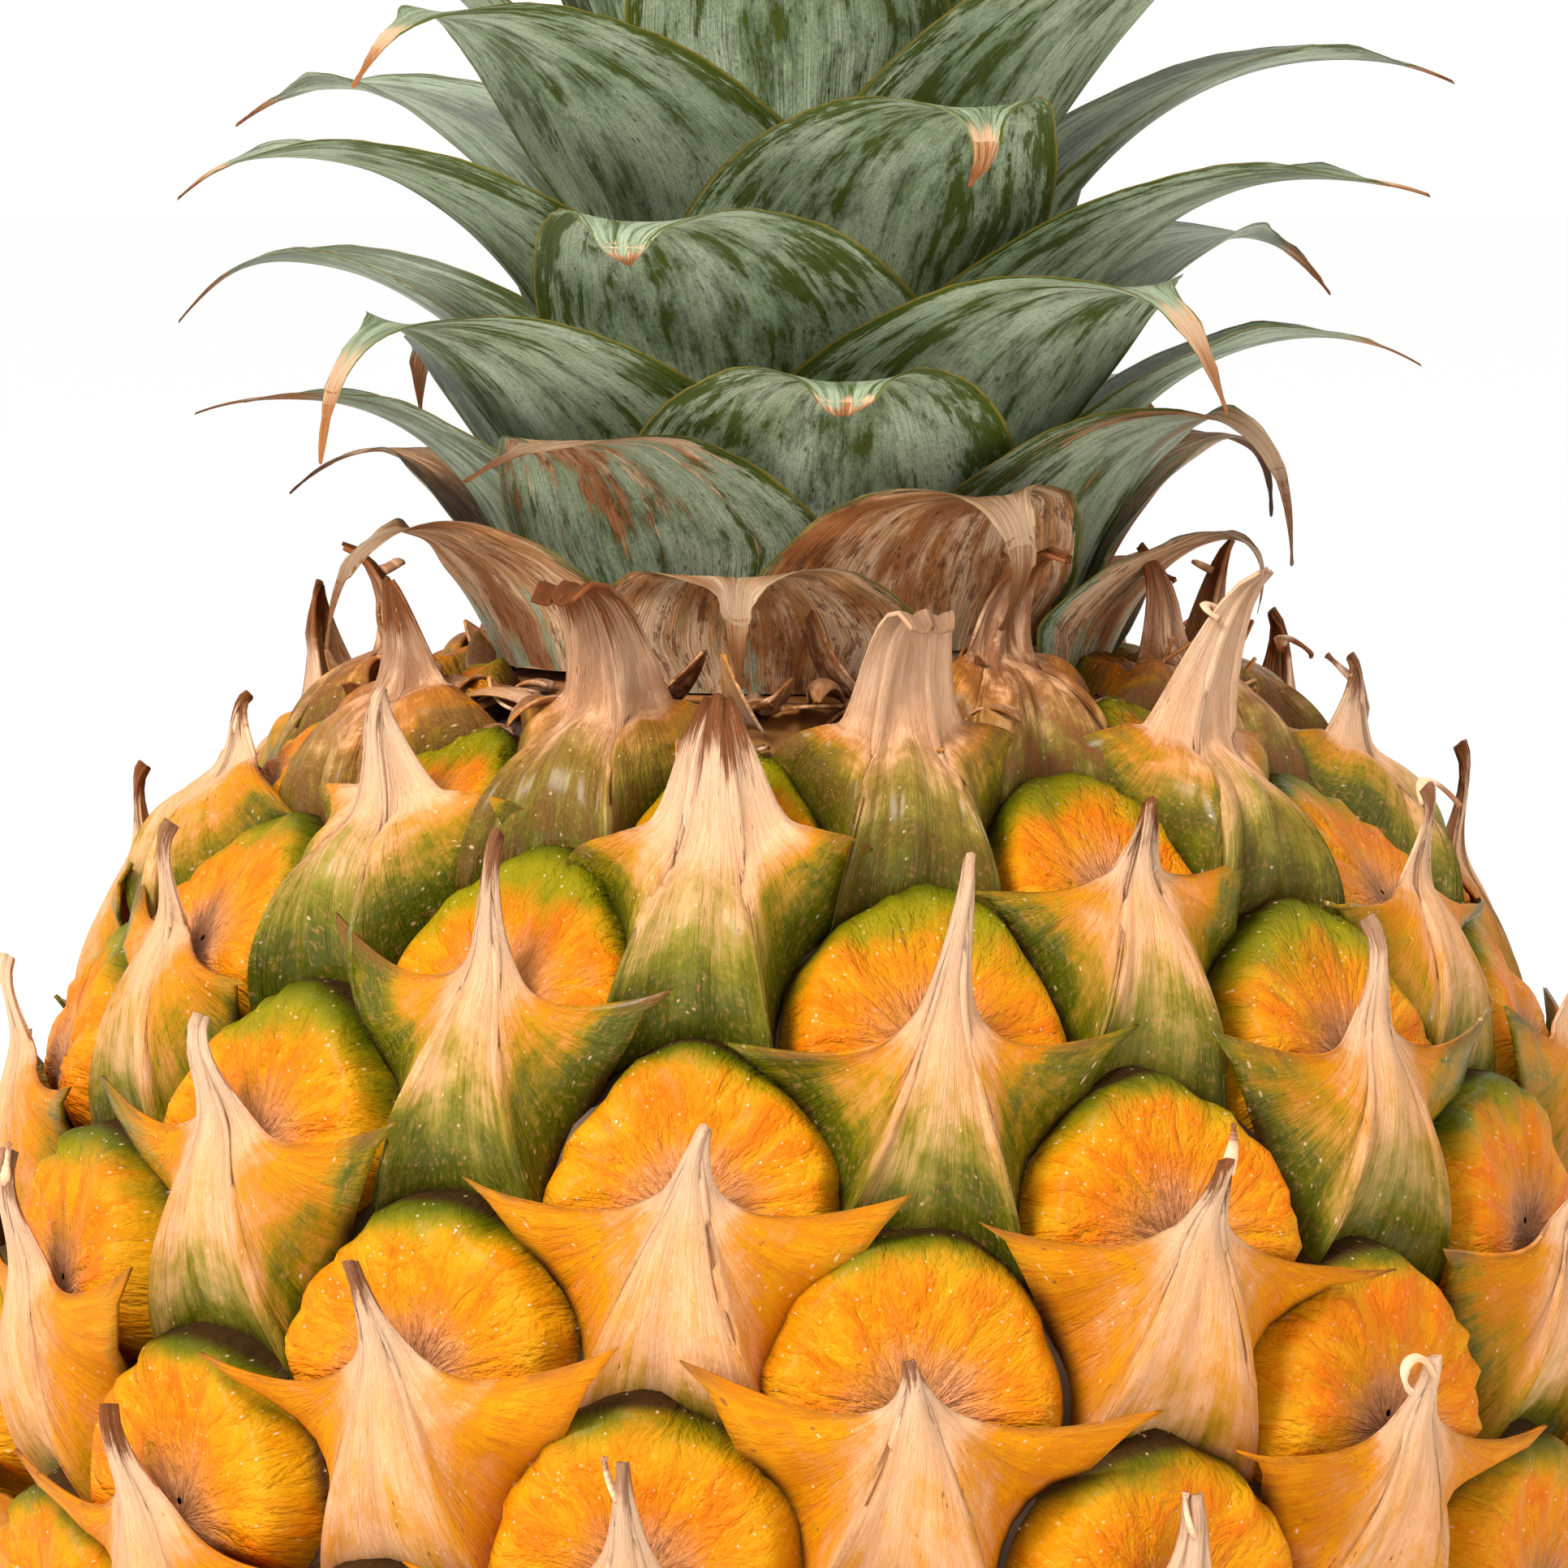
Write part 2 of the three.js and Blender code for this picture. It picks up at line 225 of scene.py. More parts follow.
class Patches:
    """Grids of points gathered into one mesh, each with its own tile of the bake map."""

    def __init__(self):
        self.points = []
        self.values = {}
        self.faces = []
        self.tiles = []
        self.count = 0

    def add(self, points, ring=False, **values):
        """Adds a grid of rows and columns; ring joins the last column to the first."""
        rows, columns = points.shape[:2]
        numbers = self.count + np.arange(rows * columns).reshape(rows, columns)
        across = columns if ring else columns - 1
        for row in range(rows - 1):
            for column in range(across):
                right = (column + 1) % columns
                corners = [(row, column), (row, right), (row + 1, right), (row + 1, column)]
                self.faces.append([numbers[corner] for corner in corners])
                ends = [(row, column), (row, column + 1), (row + 1, column + 1), (row + 1, column)]
                self.tiles.append((len(self.points), [(c / across, r / (rows - 1)) for r, c in ends]))
        self.points.append(points.reshape(-1, 3))
        for name, grid in values.items():
            self.values.setdefault(name, []).append(np.broadcast_to(grid, points.shape).reshape(-1, 3))
        self.count += rows * columns

    def make(self, name, finish, thickness=0):
        """The gathered grids as one object, with their values as attributes for its finish."""
        mesh = bpy.data.meshes.new(name)
        mesh.from_pydata(np.concatenate(self.points) * MM, [], self.faces)
        for key, grids in self.values.items():
            attribute = mesh.attributes.new(key, "FLOAT_VECTOR", "POINT")
            attribute.data.foreach_set("vector", np.concatenate(grids).astype(np.float32).ravel())
        side = math.ceil(math.sqrt(len(self.points)))
        layer = mesh.uv_layers.new(name="OFBake")
        corners = []
        for tile, places in self.tiles:
            left, low = tile % side, tile // side
            for u, v in places:
                corners += [(left + lerp(0.04, 0.96, u)) / side, (low + lerp(0.04, 0.96, v)) / side]
        layer.data.foreach_set("uv", corners)
        mesh.shade_smooth()
        mesh.materials.append(finish)
        piece = bpy.data.objects.new(name, mesh)
        bpy.context.collection.objects.link(piece)
        if thickness:
            solid = piece.modifiers.new("thickness", "SOLIDIFY")
            solid.thickness = thickness * MM
            solid.offset = -1
        return piece


# ---------------------------------------------------------------- shader making


class Value:
    """A shader socket that arithmetic can be done on: each operation adds its Math node."""

    def __init__(self, finish, socket):
        self.finish = finish
        self.socket = socket

    def math(self, operation, *others, swapped=False):
        terms = [*others, self] if swapped else [self, *others]
        return self.finish.node("ShaderNodeMath", {"operation": operation}, dict(enumerate(terms)))

    def __add__(self, other):
        return self.math("ADD", other)

    def __sub__(self, other):
        return self.math("SUBTRACT", other)

    def __rsub__(self, other):
        return self.math("SUBTRACT", other, swapped=True)

    def __mul__(self, other):
        return self.math("MULTIPLY", other)

    def __truediv__(self, other):
        return self.math("DIVIDE", other)

    def __pow__(self, other):
        return self.math("POWER", other)

    __radd__ = __add__
    __rmul__ = __mul__

    def between(self, low, high):
        """0 below low, 1 above high and smooth in between; falls instead if low is above high."""
        if low > high:
            return 1 - self.between(high, low)
        return self.finish.node(
            "ShaderNodeMapRange",
            {"interpolation_type": "SMOOTHSTEP"},
            {"Value": self, "From Min": low, "From Max": high},
        )


class Finish:
    """A material with one Principled shader, and short ways to add the nodes that feed it."""

    def __init__(self, name):
        self.material = bpy.data.materials.new(name)
        self.material.use_nodes = True
        self.tree = self.material.node_tree
        self.shader = self.tree.nodes["Principled BSDF"]

    def node(self, kind, settings, inputs, output=0):
        """Adds a node with its settings and the values or links of its sockets, and gives its output."""
        node = self.tree.nodes.new(kind)
        for name, setting in settings.items():
            setattr(node, name, setting)
        for name, value in inputs.items():
            self.plug(node.inputs[name], value)
        return Value(self, node.outputs[output])

    def plug(self, socket, value):
        if isinstance(value, Value):
            self.tree.links.new(value.socket, socket)
        elif socket.type == "RGBA":
            socket.default_value = (*value, 1)
        else:
            socket.default_value = value

    def set(self, **inputs):
        for name, value in inputs.items():
            self.plug(self.shader.inputs[name.replace("_", " ")], value)
        return self.material

    def attribute(self, name):
        return self.node("ShaderNodeAttribute", {"attribute_name": name}, {}, "Vector")

    def split(self, vector):
        node = self.node("ShaderNodeSeparateXYZ", {}, {0: vector}).socket.node
        return [Value(self, output) for output in node.outputs]

    def join(self, x, y, z):
        return self.node("ShaderNodeCombineXYZ", {}, {0: x, 1: y, 2: z})

    def noise(self, vector, scale, detail=3, roughness=0.55, distortion=0):
        inputs = {"Vector": vector, "Scale": scale, "Detail": detail}
        inputs.update({"Roughness": roughness, "Distortion": distortion})
        return self.node("ShaderNodeTexNoise", {}, inputs)

    def spots(self, vector, scale, size):
        """Small round specks, 1 inside each one."""
        distance = self.node("ShaderNodeTexVoronoi", {}, {"Vector": vector, "Scale": scale})
        return distance.between(size, 0.4 * size)

    def mix(self, share, a, b):
        """Colour a, with this share of colour b."""
        return self.node("ShaderNodeMix", {"data_type": "RGBA"}, {0: share, 6: a, 7: b}, 2)

    def bump(self, height, strength, distance):
        inputs = {"Height": height, "Strength": strength, "Distance": distance * MM}
        return self.node("ShaderNodeBump", {}, inputs)


# ---------------------------------------------------------------- finishes

ORANGE = (0.60, 0.125, 0.0005)
YELLOW = (0.64, 0.245, 0.002)
HEART_TAN = (0.66, 0.28, 0.12)
LIME = (0.175, 0.165, 0.001)
DEEP_GREEN = (0.024, 0.040, 0.001)
CREAM = (0.70, 0.35, 0.165)
PALE_STRAW = (0.80, 0.515, 0.325)
AMBER = (0.50, 0.15, 0.001)
DRY_BROWN = (0.20, 0.062, 0.018)
DARK_BROWN = (0.035, 0.012, 0.005)
BLOOM_GREEN = (0.30, 0.385, 0.195)
PALE_BLOOM = (0.61, 0.67, 0.47)
RUBBED_GREEN = (0.075, 0.10, 0.005)
SHADE_GREEN = (0.022, 0.034, 0.007)
GOLDEN_EDGE = (0.36, 0.26, 0.04)
TAN = (0.66, 0.28, 0.085)
PALE_HUSK = (0.90, 0.60, 0.36)


def eye_finish():
    """Waxy orange discs with yellow ridges that run out from a tan heart to a green rim, with painted shade
    in their creases and at the edge that rolls into the seam, and pale pores partly painted as glints.
    """
    finish = Finish("ripe_eye")
    x, y, seed = finish.split(finish.attribute("place"))
    green_level, _, husk = finish.split(finish.attribute("ripeness"))
    low = y + 0.12
    distance = (x * x + y * y + 0.0001) ** 0.5
    from_heart = (x * x + low * low + 0.0001) ** 0.5
    spokes = finish.join(x / from_heart * 1.5 + seed, low / from_heart * 1.5, from_heart * 0.9)
    ridge = finish.noise(spokes, 3.4, 4, 0.62, 0.7)
    fine = finish.noise(spokes, 12, 3, 0.65, 0.3)
    cloud = finish.noise(finish.join(x + seed, y, 0), 1.8, 4, 0.6)
    colour = finish.mix((ridge + (cloud - 0.5) * 0.6).between(0.30, 0.78), ORANGE, YELLOW)
    rim = (distance + (cloud - 0.5) * 0.6 + (ridge - 0.5) * 0.35).between(0.62, 1.05)
    colour = finish.mix(rim * 0.7, colour, (0.46, 0.22, 0.003))
    glow = (from_heart + (ridge - 0.5) * 0.8).between(0.66, 0.25)
    colour = finish.mix(glow * 0.5, colour, (0.72, 0.25, 0.03))
    colour = finish.mix(fine.between(0.58, 0.72) * 0.35, colour, (0.76, 0.38, 0.035))
    heart = (from_heart + (cloud - 0.5) * 0.6 + (fine - 0.5) * 0.4).between(0.54, 0.14)
    colour = finish.mix(heart * 0.8, colour, HEART_TAN)
    colour = finish.mix(heart * fine.between(0.50, 0.62) * 0.85, colour, DRY_BROWN)
    green = (y * 0.62 + distance * 0.42 + (cloud - 0.5) * 0.7 + green_level * 0.34).between(0.72, 1.10)
    colour = finish.mix(green * 0.9, colour, LIME)
    colour = finish.mix((green * distance.between(0.78, 1.0)) * 0.8, colour, DEEP_GREEN)
    # painted crease shade: the disc goes a deeper, darker orange in the low folds of its bump
    painted_crease_shade = (ridge.between(0.38, 0.26) + fine.between(0.38, 0.28) * 0.3) * distance.between(0.3, 0.7)
    colour = finish.mix(painted_crease_shade * 0.22, colour, (0.36, 0.075, 0.002))
    # painted shade: the disc's edge goes near-black where it rolls down into the seam
    colour = finish.mix(distance.between(0.97, 1.05) * 0.92, colour, DARK_BROWN)
    colour = finish.mix(husk * cloud.between(0.3, 0.6) * 0.8, colour, DRY_BROWN)
    # pale pores of the skin, partly painted glints: small pale dots that also stand in for tiny highlights
    dots = finish.spots(finish.join(x + seed, y, 0), 13, 0.15)
    colour = finish.mix(dots * 0.5, colour, PALE_STRAW)
    height = ridge * 0.6 + fine * 0.2 + cloud * 0.25
    return finish.set(
        Base_Color=colour,
        Roughness=0.34 + ridge * 0.2,
        Normal=finish.bump(height, 1.0, 1.7),
        Specular_IOR_Level=0.06,
        Coat_Weight=dots * 0.4 + 0.02,
        Coat_Roughness=0.15,
        Subsurface_Weight=0.05,
        Subsurface_Radius=(0.004, 0.002, 0.0006),
        Subsurface_Scale=1.0,
    )


def bract_finish():
    """Papery cream bracts with fibres that fan out from the hook, amber wings and green feet, painted shade
    where the feet dip into the seam, and pale specks partly painted as glints.
    """
    finish = Finish("papery_bract")
    fan, down, seed = finish.split(finish.attribute("fibre"))
    green_level, dryness, husk = finish.split(finish.attribute("ripeness"))
    threads = finish.noise(finish.join(fan * 5 + seed, down * 0.9, seed), 4.5, 5, 0.68, 0.25)
    fine = finish.noise(finish.join(fan * 20 + seed, down * 1.6, seed), 4, 3, 0.65)
    cloud = finish.noise(finish.join(fan * 1.5 + seed, down * 2.4, 0), 2.4, 4, 0.6)
    grain = finish.noise(finish.join(fan * 9 + seed, down * 9, seed), 6, 3, 0.7)
    wings = (fan * fan) ** 0.5
    mottle = (threads - 0.5) * 0.5 + (cloud - 0.5) * 0.8
    reach = down * 0.72 + wings * 0.60 * down.between(0.2, 0.6) + mottle
    colour = finish.mix(reach.between(0.50, 1.08), CREAM, AMBER)
    yellowed = (threads * 0.5 + cloud * 0.6 + fine * 0.4).between(0.68, 0.90) * down.between(0.25, 0.7)
    colour = finish.mix(yellowed * 0.7, colour, YELLOW)
    lines = fine.between(0.42, 0.30) * 0.5 + threads.between(0.40, 0.28)
    colour = finish.mix(lines * 0.45, colour, (0.46, 0.15, 0.022))
    pale = (down + mottle * 0.4).between(0.50, 0.10) + fine.between(0.52, 0.7) * reach.between(1.0, 0.4) * 0.6
    colour = finish.mix(pale * 0.75, colour, PALE_STRAW)
    foot = (down + mottle * 0.7 + (fine - 0.5) * 0.2 - wings * 0.16 + green_level * 0.46).between(0.84, 1.22)
    colour = finish.mix(foot * 0.9, colour, LIME)
    deep = (down + green_level * 0.3 + mottle * 0.8).between(0.92, 1.25)
    colour = finish.mix(foot * deep * 0.8, colour, DEEP_GREEN)
    colour = finish.mix(foot * grain.between(0.5, 0.7) * 0.2, colour, HEART_TAN)
    dry = (down - dryness * 0.12 + (cloud - 0.5) * 0.35 + (threads - 0.5) * 0.35).between(0.09, -0.02)
    colour = finish.mix(dry * dryness.between(0.1, 0.9), colour, DRY_BROWN)
    colour = finish.mix(dry * dryness * fine.between(0.5, 0.3) * 0.7, colour, DARK_BROWN)
    colour = finish.mix(husk * (cloud + threads * 0.5).between(0.55, 0.85) * 0.85, colour, DRY_BROWN)
    specks = finish.spots(finish.join(fan * 4 + seed, down * 2.6, 0), 5, 0.15) * cloud.between(0.45, 0.6)
    colour = finish.mix(specks * 0.85, colour, DRY_BROWN)
    # pale specks of the bract, partly painted glints: small pale dots that also stand in for tiny highlights
    dots = finish.spots(finish.join(fan * 3 + seed, down * 4, 3), 5, 0.13)
    colour = finish.mix(dots * 0.55, colour, PALE_STRAW)
    colour = finish.mix(grain.between(0.55, 0.75) * 0.22, colour, (0.52, 0.19, 0.04))
    # painted shade: the bract's foot goes dark brown where it dips into the seam, but not at the wing tips
    colour = finish.mix(down.between(0.93, 0.995) * wings.between(0.94, 0.8) * 0.9, colour, DARK_BROWN)
    colour = finish.mix(wings.between(0.93, 1.0) * cloud.between(0.4, 0.6) * down * 0.7, colour, DRY_BROWN)
    height = threads * 0.6 + fine * 0.3 + grain * 0.1
    return finish.set(
        Base_Color=colour,
        Roughness=0.60 - foot * 0.28,
        Normal=finish.bump(height, 0.8, 1.1),
        Specular_IOR_Level=0.06,
        Coat_Weight=foot * 0.14,
        Coat_Roughness=0.2,
        Subsurface_Weight=0.05,
        Subsurface_Radius=(0.003, 0.0015, 0.0008),
        Subsurface_Scale=1.0,
    )


def groove_finish():
    """The dark seams between the eyes."""
    finish = Finish("dark_seam")
    place = finish.node("ShaderNodeTexCoord", {}, {}, "Object")
    _, _, height = finish.split(place)
    cloud = finish.noise(place, 160, 4)
    colour = finish.mix(cloud.between(0.35, 0.65), DARK_BROWN, (0.09, 0.04, 0.006))
    by_crown = height.between(0.141, 0.147) * cloud.between(0.4, 0.6)
    colour = finish.mix(by_crown * 0.7, colour, (0.36, 0.13, 0.02))
    return finish.set(Base_Color=colour, Roughness=0.7, Normal=finish.bump(cloud, 0.6, 0.8))


def leaf_finish(name, withered):
    """Thick blades with a grey bloom, fine length-wise lines, and tips dried to orange and brown."""
    finish = Finish(name)
    across, along, seed = finish.split(finish.attribute("blade"))
    dry, tip, upper = finish.split(finish.attribute("dryness"))
    lines = finish.noise(finish.join(across * 16 + seed, along * 1.0, seed), 5, 3, 0.6)
    streaks = finish.noise(finish.join(across * 2.6 + seed, along * 1.5, seed), 3, 6, 0.68, 0.35)
    cloud = finish.noise(finish.join(across * 1.2 + seed, along * 2.2, seed), 2.2, 5, 0.65)
    grain = finish.noise(finish.join(across * 12 + seed, along * 30, seed), 6, 3, 0.75)
    blots = finish.noise(finish.join(across * 5 + seed, along * 7, seed + 3), 3, 5, 0.75)
    edge = (across * across) ** 0.5
    patchy = streaks * 0.6 + cloud * 0.35 + blots * 0.3
    rubbed = (patchy + edge * 0.07).between(0.685, 0.715)
    margin = (edge + (blots - 0.5) * 0.35 + (streaks - 0.5) * 0.3).between(0.90, 0.94)
    green = finish.mix(cloud.between(0.62, 0.36) * 0.7, BLOOM_GREEN, PALE_BLOOM)
    green = finish.mix((lines * 0.6 + grain * 0.5).between(0.50, 0.66) * 0.6, green, SHADE_GREEN)
    green = finish.mix(lines.between(0.46, 0.62) * 0.35, green, PALE_BLOOM)
    green = finish.mix(patchy.between(0.56, 0.72) * 0.7, green, SHADE_GREEN)
    green = finish.mix(rubbed * (0.55 + grain * 0.5), green, RUBBED_GREEN)
    green = finish.mix(margin * (0.6 + grain * 0.5), green, RUBBED_GREEN)
    brown = finish.mix((streaks + (lines - 0.5) * 0.5).between(0.42, 0.60), TAN, PALE_HUSK)
    brown = finish.mix((cloud + lines * 0.4).between(0.68, 0.80) * 0.85, brown, (0.36, 0.11, 0.022))
    brown = finish.mix(blots.between(0.52, 0.60) * 0.75, brown, DRY_BROWN)
    brown = finish.mix(lines.between(0.45, 0.28) * 0.45, brown, (0.22, 0.09, 0.03))
    still_green = streaks.between(0.47, 0.40) * cloud.between(0.6, 0.4)
    brown = finish.mix(still_green * 0.45, brown, (0.17, 0.18, 0.10))
    brown = finish.mix(tip.between(0.02, 0.5) * upper * 0.6, brown, PALE_HUSK)
    rust = (tip + (streaks - 0.5) * 0.9 + (lines - 0.5) * 0.5).between(0.66, 0.90)
    brown = finish.mix(rust * 0.85, brown, (0.46, 0.15, 0.03))
    brown = finish.mix(rust * blots.between(0.48, 0.58) * 0.7, brown, DRY_BROWN)
    drying = dry + (streaks - 0.5) * 1.1 + (cloud - 0.5) * 0.9 - margin * 0.35
    dried = (drying + (lines - 0.5) * 0.5).between(0.46, 0.58)
    colour = finish.mix(dried, green, brown)
    colour = finish.mix(edge.between(0.965, 0.99) * 0.7, colour, GOLDEN_EDGE)
    specks = finish.spots(finish.join(across * 7 + seed, along * 9.4, 0), 4, 0.24) * blots.between(0.44, 0.56)
    colour = finish.mix(specks * 0.75, colour, DARK_BROWN)
    dots = finish.spots(finish.join(across * 10 + seed, along * 36, 5), 5, 0.10) * cloud.between(0.4, 0.6)
    colour = finish.mix(dots * 0.4, colour, PALE_HUSK)
    height = lines * 0.55 + grain * 0.1 + streaks * 0.35
    return finish.set(
        Base_Color=colour,
        Roughness=0.50 + dried * 0.26 - rubbed * 0.14,
        Normal=finish.bump(height, 1.0 if withered else 0.7, 1.2),
        Specular_IOR_Level=0.16,
    )


def cut_stalk_finish():
    """The sawn end of the stalk: pale fibres in a browned, woody face."""
    finish = Finish("cut_stalk_fibre")
    place = finish.node("ShaderNodeTexCoord", {}, {}, "Object")
    fibres = finish.node("ShaderNodeTexVoronoi", {}, {"Vector": place, "Scale": 900})
    cloud = finish.noise(place, 140, 4)
    colour = finish.mix(fibres.between(0.2, 0.6), (0.55, 0.36, 0.18), (0.26, 0.13, 0.05))
    colour = finish.mix(cloud.between(0.45, 0.7) * 0.6, colour, (0.66, 0.50, 0.30))
    return finish.set(Base_Color=colour, Roughness=0.85, Normal=finish.bump(fibres, 0.7, 0.4))


def stem_finish():
    """The crown's stem, papery and brown where the lowest leaves were."""
    finish = Finish("stem_husk")
    place = finish.node("ShaderNodeTexCoord", {}, {}, "Object")
    cloud = finish.noise(place, 220, 4)
    colour = finish.mix(cloud.between(0.4, 0.65), (0.22, 0.10, 0.045), (0.46, 0.28, 0.14))
    return finish.set(Base_Color=colour, Roughness=0.8, Normal=finish.bump(cloud, 0.7, 0.8))


# ---------------------------------------------------------------- the skin's pieces


def ground_piece(finish):
    """The skin under the eyes, which shows only as the seams between them."""
    patches = Patches()
    climbs = np.linspace(CLIMB[0], CLIMB[-1], 180)
    turns = np.linspace(0, 2 * math.pi, 240, endpoint=False)
    climb, turn = np.meshgrid(climbs, turns, indexing="ij")
    r = np.interp(climb, CLIMB, SKIN_R)
    depth = GROOVE_DEPTH * (r / FRUIT_RADIUS) ** 0.7
    radius = r - depth * np.interp(climb, CLIMB, SKIN_OUT_R)
    height = np.interp(climb, CLIMB, SKIN_Z) - depth * np.interp(climb, CLIMB, SKIN_OUT_Z)
    height = np.maximum(height, FOOT_CLEARANCE)
    points = np.stack([radius * np.sin(turn), -radius * np.cos(turn), height], -1)
    patches.add(points, ring=True)
    return patches.make("skin_under_eyes", finish)


def disc_patch(patches, eye):
    """A domed disc that dips to its heart, with a slightly pointed top and a rim that rolls into the seam."""
    rings = np.concatenate([np.linspace(0.02, 0.8, 12), np.linspace(0.85, 1.05, 7)])
    turns = np.linspace(0, 2 * math.pi, 60, endpoint=False)
    share, turn = np.meshgrid(rings, turns, indexing="ij")
    wobble = 1 + 0.022 * np.sin(5 * turn + eye.seed) + 0.014 * np.sin(11 * turn + 2 * eye.seed)
    point = 1 + 0.15 * np.maximum(0, np.sin(turn + 0.1 * math.sin(eye.seed))) ** 5
    radius = eye.disc_radius * wobble * point * share
    x, y = radius * np.cos(turn), radius * np.sin(turn)
    dome = 1.4 - 4.8 * smoothstep(share, 0.74, 1.06) ** 1.8
    heart = -1.3 * smoothstep(np.hypot(share * np.cos(turn), share * np.sin(turn) + 0.12), 0.75, 0.0)
    wander = turn + 0.22 * np.sin(3 * turn + eye.seed) + 0.12 * np.sin(5 * share + eye.seed)
    furrows = 0.34 * np.sin(12 * wander) * np.sin(2.5 * turn + 2 * eye.seed + 3 * share)
    furrows = furrows + 0.16 * np.sin(23 * wander + eye.seed)
    lobes = 0.45 * np.sin(3 * turn + eye.seed * 3) * share
    sunk = -6.5 * smoothstep(-y / eye.disc_radius, 0.12, 0.7)
    out = dome + heart + furrows * smoothstep(share, 0.1, 0.6) + lobes + sunk
    points = on_skin(eye, x, y, out)
    place = np.stack([x / eye.disc_radius, y / eye.disc_radius, np.full_like(x, eye.seed)], -1)
    patches.add(points, ring=True, place=place, ripeness=ripeness_of(eye))


def ripeness_of(eye):
    """How green an eye still is, from the crown down, and how dry the tip of its bract is."""
    greenness = smoothstep(eye.level, -0.1, 1.0) + 0.2 * math.sin(eye.seed)
    return np.array([greenness, eye.dryness, smoothstep(eye.climb, SEAT_CLIMB - 0.5, SEAT_CLIMB)])


def bract_edge(fan, eye):
    """The bract's outline from its left wing tip (fan -1) along its foot to its right wing tip (fan 1)."""
    side = np.abs(fan)
    at_foot, leftwards = side < 0.4, fan < 0
    along = np.clip((side - 0.4) / 0.6, 0, 1)
    foot_angle = np.where(leftwards, lerp(90, 132, side / 0.4), lerp(90, 40, side / 0.4))
    side_angle = np.where(leftwards, lerp(-33, 72, along), lerp(205, 98, along))
    angle = np.radians(np.where(at_foot, foot_angle, side_angle))
    x, y = (np.where(at_foot, down, np.where(leftwards, left, right))
            for down, left, right in zip(STEP_DOWN, STEP_LEFT, STEP_RIGHT))
    steps_down = np.where(at_foot, ROWS_LEFT + ROWS_RIGHT, np.where(leftwards, ROWS_LEFT, ROWS_RIGHT))
    reach = np.vectorize(disc_radius)(eye.level - steps_down * EYE_RISE) + GROOVE
    return x + reach * np.cos(angle), y + reach * np.sin(angle)


def bract_patch(patches, eye):
    """A papery bract: a belly over the lower half of the eye, two wings and a hook that points up."""
    rows = np.linspace(0, 1, 32) ** 0.9
    columns = np.linspace(-1, 1, 35)
    down, fan = np.meshgrid(rows, columns, indexing="ij")
    puff = smoothstep(eye.level, 0.76, 0.85)
    wing = smoothstep(np.abs(fan), 0.72, 1) * (1 - 0.75 * puff)
    x, y = bract_spread(eye, down, fan, puff)
    out = bract_relief(eye, down, fan, puff, wing)
    frayed = 0.5 * np.sin(23 * fan + eye.seed) * np.sin(31 * fan) * smoothstep(down, 0.93, 1) * wing
    bend = math.radians(eye.tip_bend) * np.clip((0.5 - down) / 0.5, 0, 1) ** 2
    swing = 0.5 * eye.tip_length * np.clip((0.5 - down) / 0.5, 0, 1)
    points = on_skin(eye, x, y + frayed - swing * (1 - np.cos(bend)), out + swing * np.sin(bend))
    fibre = np.stack([fan, down, np.full_like(fan, eye.seed)], -1)
    patches.add(points, fibre=fibre, ripeness=ripeness_of(eye))
    if eye.split or eye.curled:
        root = points[3, len(columns) // 2]
        add_strand(patches, root, eye, curled=eye.curled)


def bract_spread(eye, down, fan, puff):
    """Where the bract lies on the skin, from its hook's tip (down 0) through a neck and hips to its edge."""
    side = np.abs(fan)
    edge_x, edge_y = bract_edge(fan, eye)
    edge_y = edge_y + np.where(fan < 0, *eye.wing_raise) * smoothstep(side, 0.86, 1)
    tip_x = eye.tip_sway + eye.tip_width * fan
    tip_y = eye.tip_length * math.cos(math.radians(eye.tip_lean)) - 2.5
    neck_x = (1.15 + 1.3 * eye.tip_width) * fan + 0.24 * puff * edge_x
    neck_y = 0.4 - 2.4 * side + 0.16 * puff * edge_y
    pull = lerp(lerp(0.48, 0.28, side**2), 0.62, 0.8 * puff)
    hip_x = neck_x + pull * (edge_x - neck_x)
    hip_y = neck_y + pull * (edge_y - neck_y) - 1.6 * side**3 * (1 - puff)
    x = bezier(down, tip_x, neck_x, hip_x, edge_x)
    y = bezier(down, tip_y, neck_y, hip_y, edge_y)
    return x, y


def bract_relief(eye, down, fan, puff, wing):
    """How far the bract stands out: its belly, free wings, leaning hook, middle ridge and pleats."""
    belly = 3.5 + 1.6 * puff * smoothstep(down, 0.2, 0.6) - (7.3 + 1.6 * puff) * down**4.2
    free_edge = 3.1 - 1.4 * down + np.where(fan < 0, *eye.wing_lift) * down**3
    lean = math.radians(eye.tip_lean)
    hook = eye.tip_length * math.sin(lean) * smoothstep(down, 0.42, 0.0) ** 1.4
    ridge = 0.8 * np.exp(-((fan / 0.2) ** 2)) * smoothstep(down, 0.9, 0.3)
    waves = np.sin(15 * fan + 2 * np.sin(3 * fan + eye.seed)) + 0.5 * np.sin(31 * fan + eye.seed)
    pleats = 0.32 * (1 + 2.2 * puff) * waves * smoothstep(down, 0.25, 0.85)
    channel = -0.4 * (1 - fan**2) * smoothstep(down, 0.3, 0.0) * eye.tip_width
    return lerp(belly, free_edge, wing) + hook + ridge + pleats + channel


